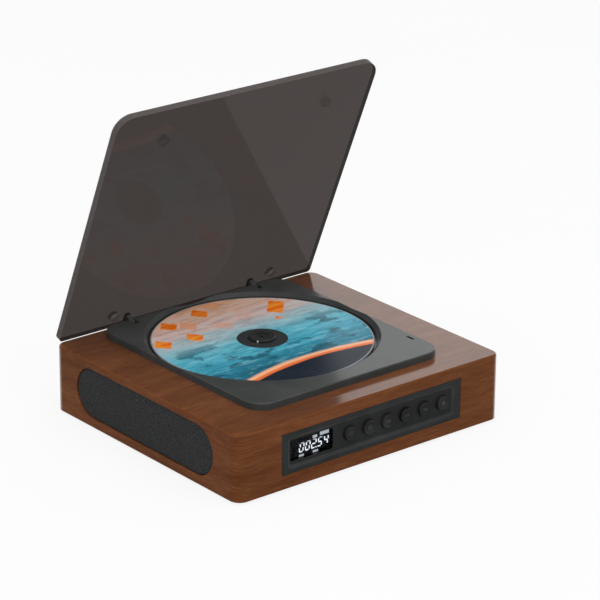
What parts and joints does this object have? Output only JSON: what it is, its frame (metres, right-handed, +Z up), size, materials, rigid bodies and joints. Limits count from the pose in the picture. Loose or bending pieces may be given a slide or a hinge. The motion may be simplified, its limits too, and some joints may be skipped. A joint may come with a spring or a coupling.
{
  "type": "tabletop and wall disc player",
  "caption": "Wood-cased disc player with a tilting smoked lid, open disc well, front display and buttons, side speakers and wall keyholes.",
  "frame": {"origin": "centre of the case's footprint, on the plane that the rubber feet stand on", "axes": "+X to the right of someone facing the controls, +Y to the rear ports, +Z up through the lid"},
  "size_m": [0.178, 0.1616, 0.1785],
  "materials": {
    "wood": "satin",
    "black_plastic": "satin",
    "panel_plastic": "satin",
    "base_plastic": "matte",
    "inner_plastic": "matte",
    "smoked_acrylic": "polished",
    "clear_plastic": "polished",
    "cloth": "woven",
    "rubber": "matte",
    "steel": "brushed",
    "dark_steel": "blackened",
    "magnet_steel": "plated",
    "disc_plastic": "printed",
    "white_plastic": "satin",
    "board": "solder mask",
    "chip": "matte",
    "paper": "pressed",
    "battery": "wrapped",
    "lit": "lit",
    "optic": "coated"
  },
  "bodies": {
    "case": {"audio_jack": "chip", "base_cover": "base_plastic", "base_screws": "dark_steel", "battery_cells": "battery", "battery_tray": "inner_plastic", "board_parts": "chip", "board_screws": "steel", "cabinet_shell": "wood", "control_board": "board", "deck_plate": "black_plastic", "deck_screws": "dark_steel", "display_module": "chip", "display_segments": "lit", "display_window": "smoked_acrylic", "front_panel": "panel_plastic", "grille_cloth_left": "cloth", "grille_cloth_right": "cloth", "grille_frame_left": "inner_plastic", "grille_frame_right": "inner_plastic", "guide_rods": "steel", "hanger_plates": "steel", "hanger_rivets": "steel", "hinge_pins": "steel", "lid_sensor": "chip", "main_board": "board", "mech_chassis": "inner_plastic", "mech_dampers": "rubber", "mech_screws": "steel", "panel_screws": "dark_steel", "power_switch_body": "chip", "rear_port_plate": "black_plastic", "rubber_feet": "rubber", "sled_motor": "steel", "speaker_cone_left": "paper", "speaker_cone_right": "paper", "speaker_frame_left": "inner_plastic", "speaker_frame_right": "inner_plastic", "speaker_magnets": "magnet_steel", "speaker_screws": "dark_steel", "spindle_motor": "steel", "tact_switches": "inner_plastic", "usb_c_port": "steel"},
    "lid": {"lid": "smoked_acrylic", "hinge_lugs": "black_plastic", "lid_bumpers": "clear_plastic"},
    "spindle": {"spindle_hub": "black_plastic", "clamp_balls": "steel"},
    "disc": {"disc": "disc_plastic"},
    "sled": {"pickup_sled": "inner_plastic", "pickup_lens": "optic"},
    "gear": {"sled_gear": "white_plastic"},
    "pinion": {"sled_pinion": "white_plastic"},
    "power_knob": {"power_switch_knob": "black_plastic"},
    "button_power": {"button_power": "black_plastic"},
    "button_mode": {"button_mode": "black_plastic"},
    "button_previous": {"button_previous": "black_plastic"},
    "button_play": {"button_play": "black_plastic"},
    "button_next": {"button_next": "black_plastic"},
    "button_stop": {"button_stop": "black_plastic"}
  },
  "joints": [
    {"name": "lid_hinge", "type": "hinge", "parent": "case", "child": "lid", "pos_m": [0, 0.0729, 0.0403], "axis": [-1, 0, 0], "range_deg": [-67.3, 0]},
    {"name": "spindle_spin", "type": "hinge", "parent": "case", "child": "spindle", "pos_m": [0, 0.0127, 0.0388], "axis": [0, 0, 1], "continuous": true},
    {"name": "disc_lift", "type": "slide", "parent": "spindle", "child": "disc", "axis": [0, 0, 1], "range_m": [0, 0.006]},
    {"name": "sled_travel", "type": "slide", "parent": "case", "child": "sled", "axis": [0, -1, 0], "range_m": [0, 0.033]},
    {"name": "gear_spin", "type": "hinge", "parent": "case", "child": "gear", "pos_m": [0.0316, -0.0188, 0.0218], "axis": [0, 0, 1], "range_deg": [-2, 339.64]},
    {"name": "pinion_spin", "type": "hinge", "parent": "case", "child": "pinion", "pos_m": [0.04178, -0.02898, 0.0218], "axis": [0, 0, 1], "range_deg": [-1018.91, 6]},
    {"name": "power_knob_slide", "type": "slide", "parent": "case", "child": "power_knob", "axis": [1, 0, 0], "range_m": [0, 0.003]},
    {"name": "button_power_press", "type": "slide", "parent": "case", "child": "button_power", "axis": [0, 1, 0], "range_m": [0, 0.0006], "stiffness_N_per_m": 1500, "springref_m": -0.0004},
    {"name": "button_mode_press", "type": "slide", "parent": "case", "child": "button_mode", "axis": [0, 1, 0], "range_m": [0, 0.0006], "stiffness_N_per_m": 1500, "springref_m": -0.0004},
    {"name": "button_previous_press", "type": "slide", "parent": "case", "child": "button_previous", "axis": [0, 1, 0], "range_m": [0, 0.0006], "stiffness_N_per_m": 1500, "springref_m": -0.0004},
    {"name": "button_play_press", "type": "slide", "parent": "case", "child": "button_play", "axis": [0, 1, 0], "range_m": [0, 0.0006], "stiffness_N_per_m": 1500, "springref_m": -0.0004},
    {"name": "button_next_press", "type": "slide", "parent": "case", "child": "button_next", "axis": [0, 1, 0], "range_m": [0, 0.0006], "stiffness_N_per_m": 1500, "springref_m": -0.0004},
    {"name": "button_stop_press", "type": "slide", "parent": "case", "child": "button_stop", "axis": [0, 1, 0], "range_m": [0, 0.0006], "stiffness_N_per_m": 1500, "springref_m": -0.0004}
  ],
  "couplings": [
    {"joint": "gear_spin", "follows": "sled_travel", "rad_per_m": 178.57},
    {"joint": "pinion_spin", "follows": "sled_travel", "rad_per_m": -535.71}
  ]
}
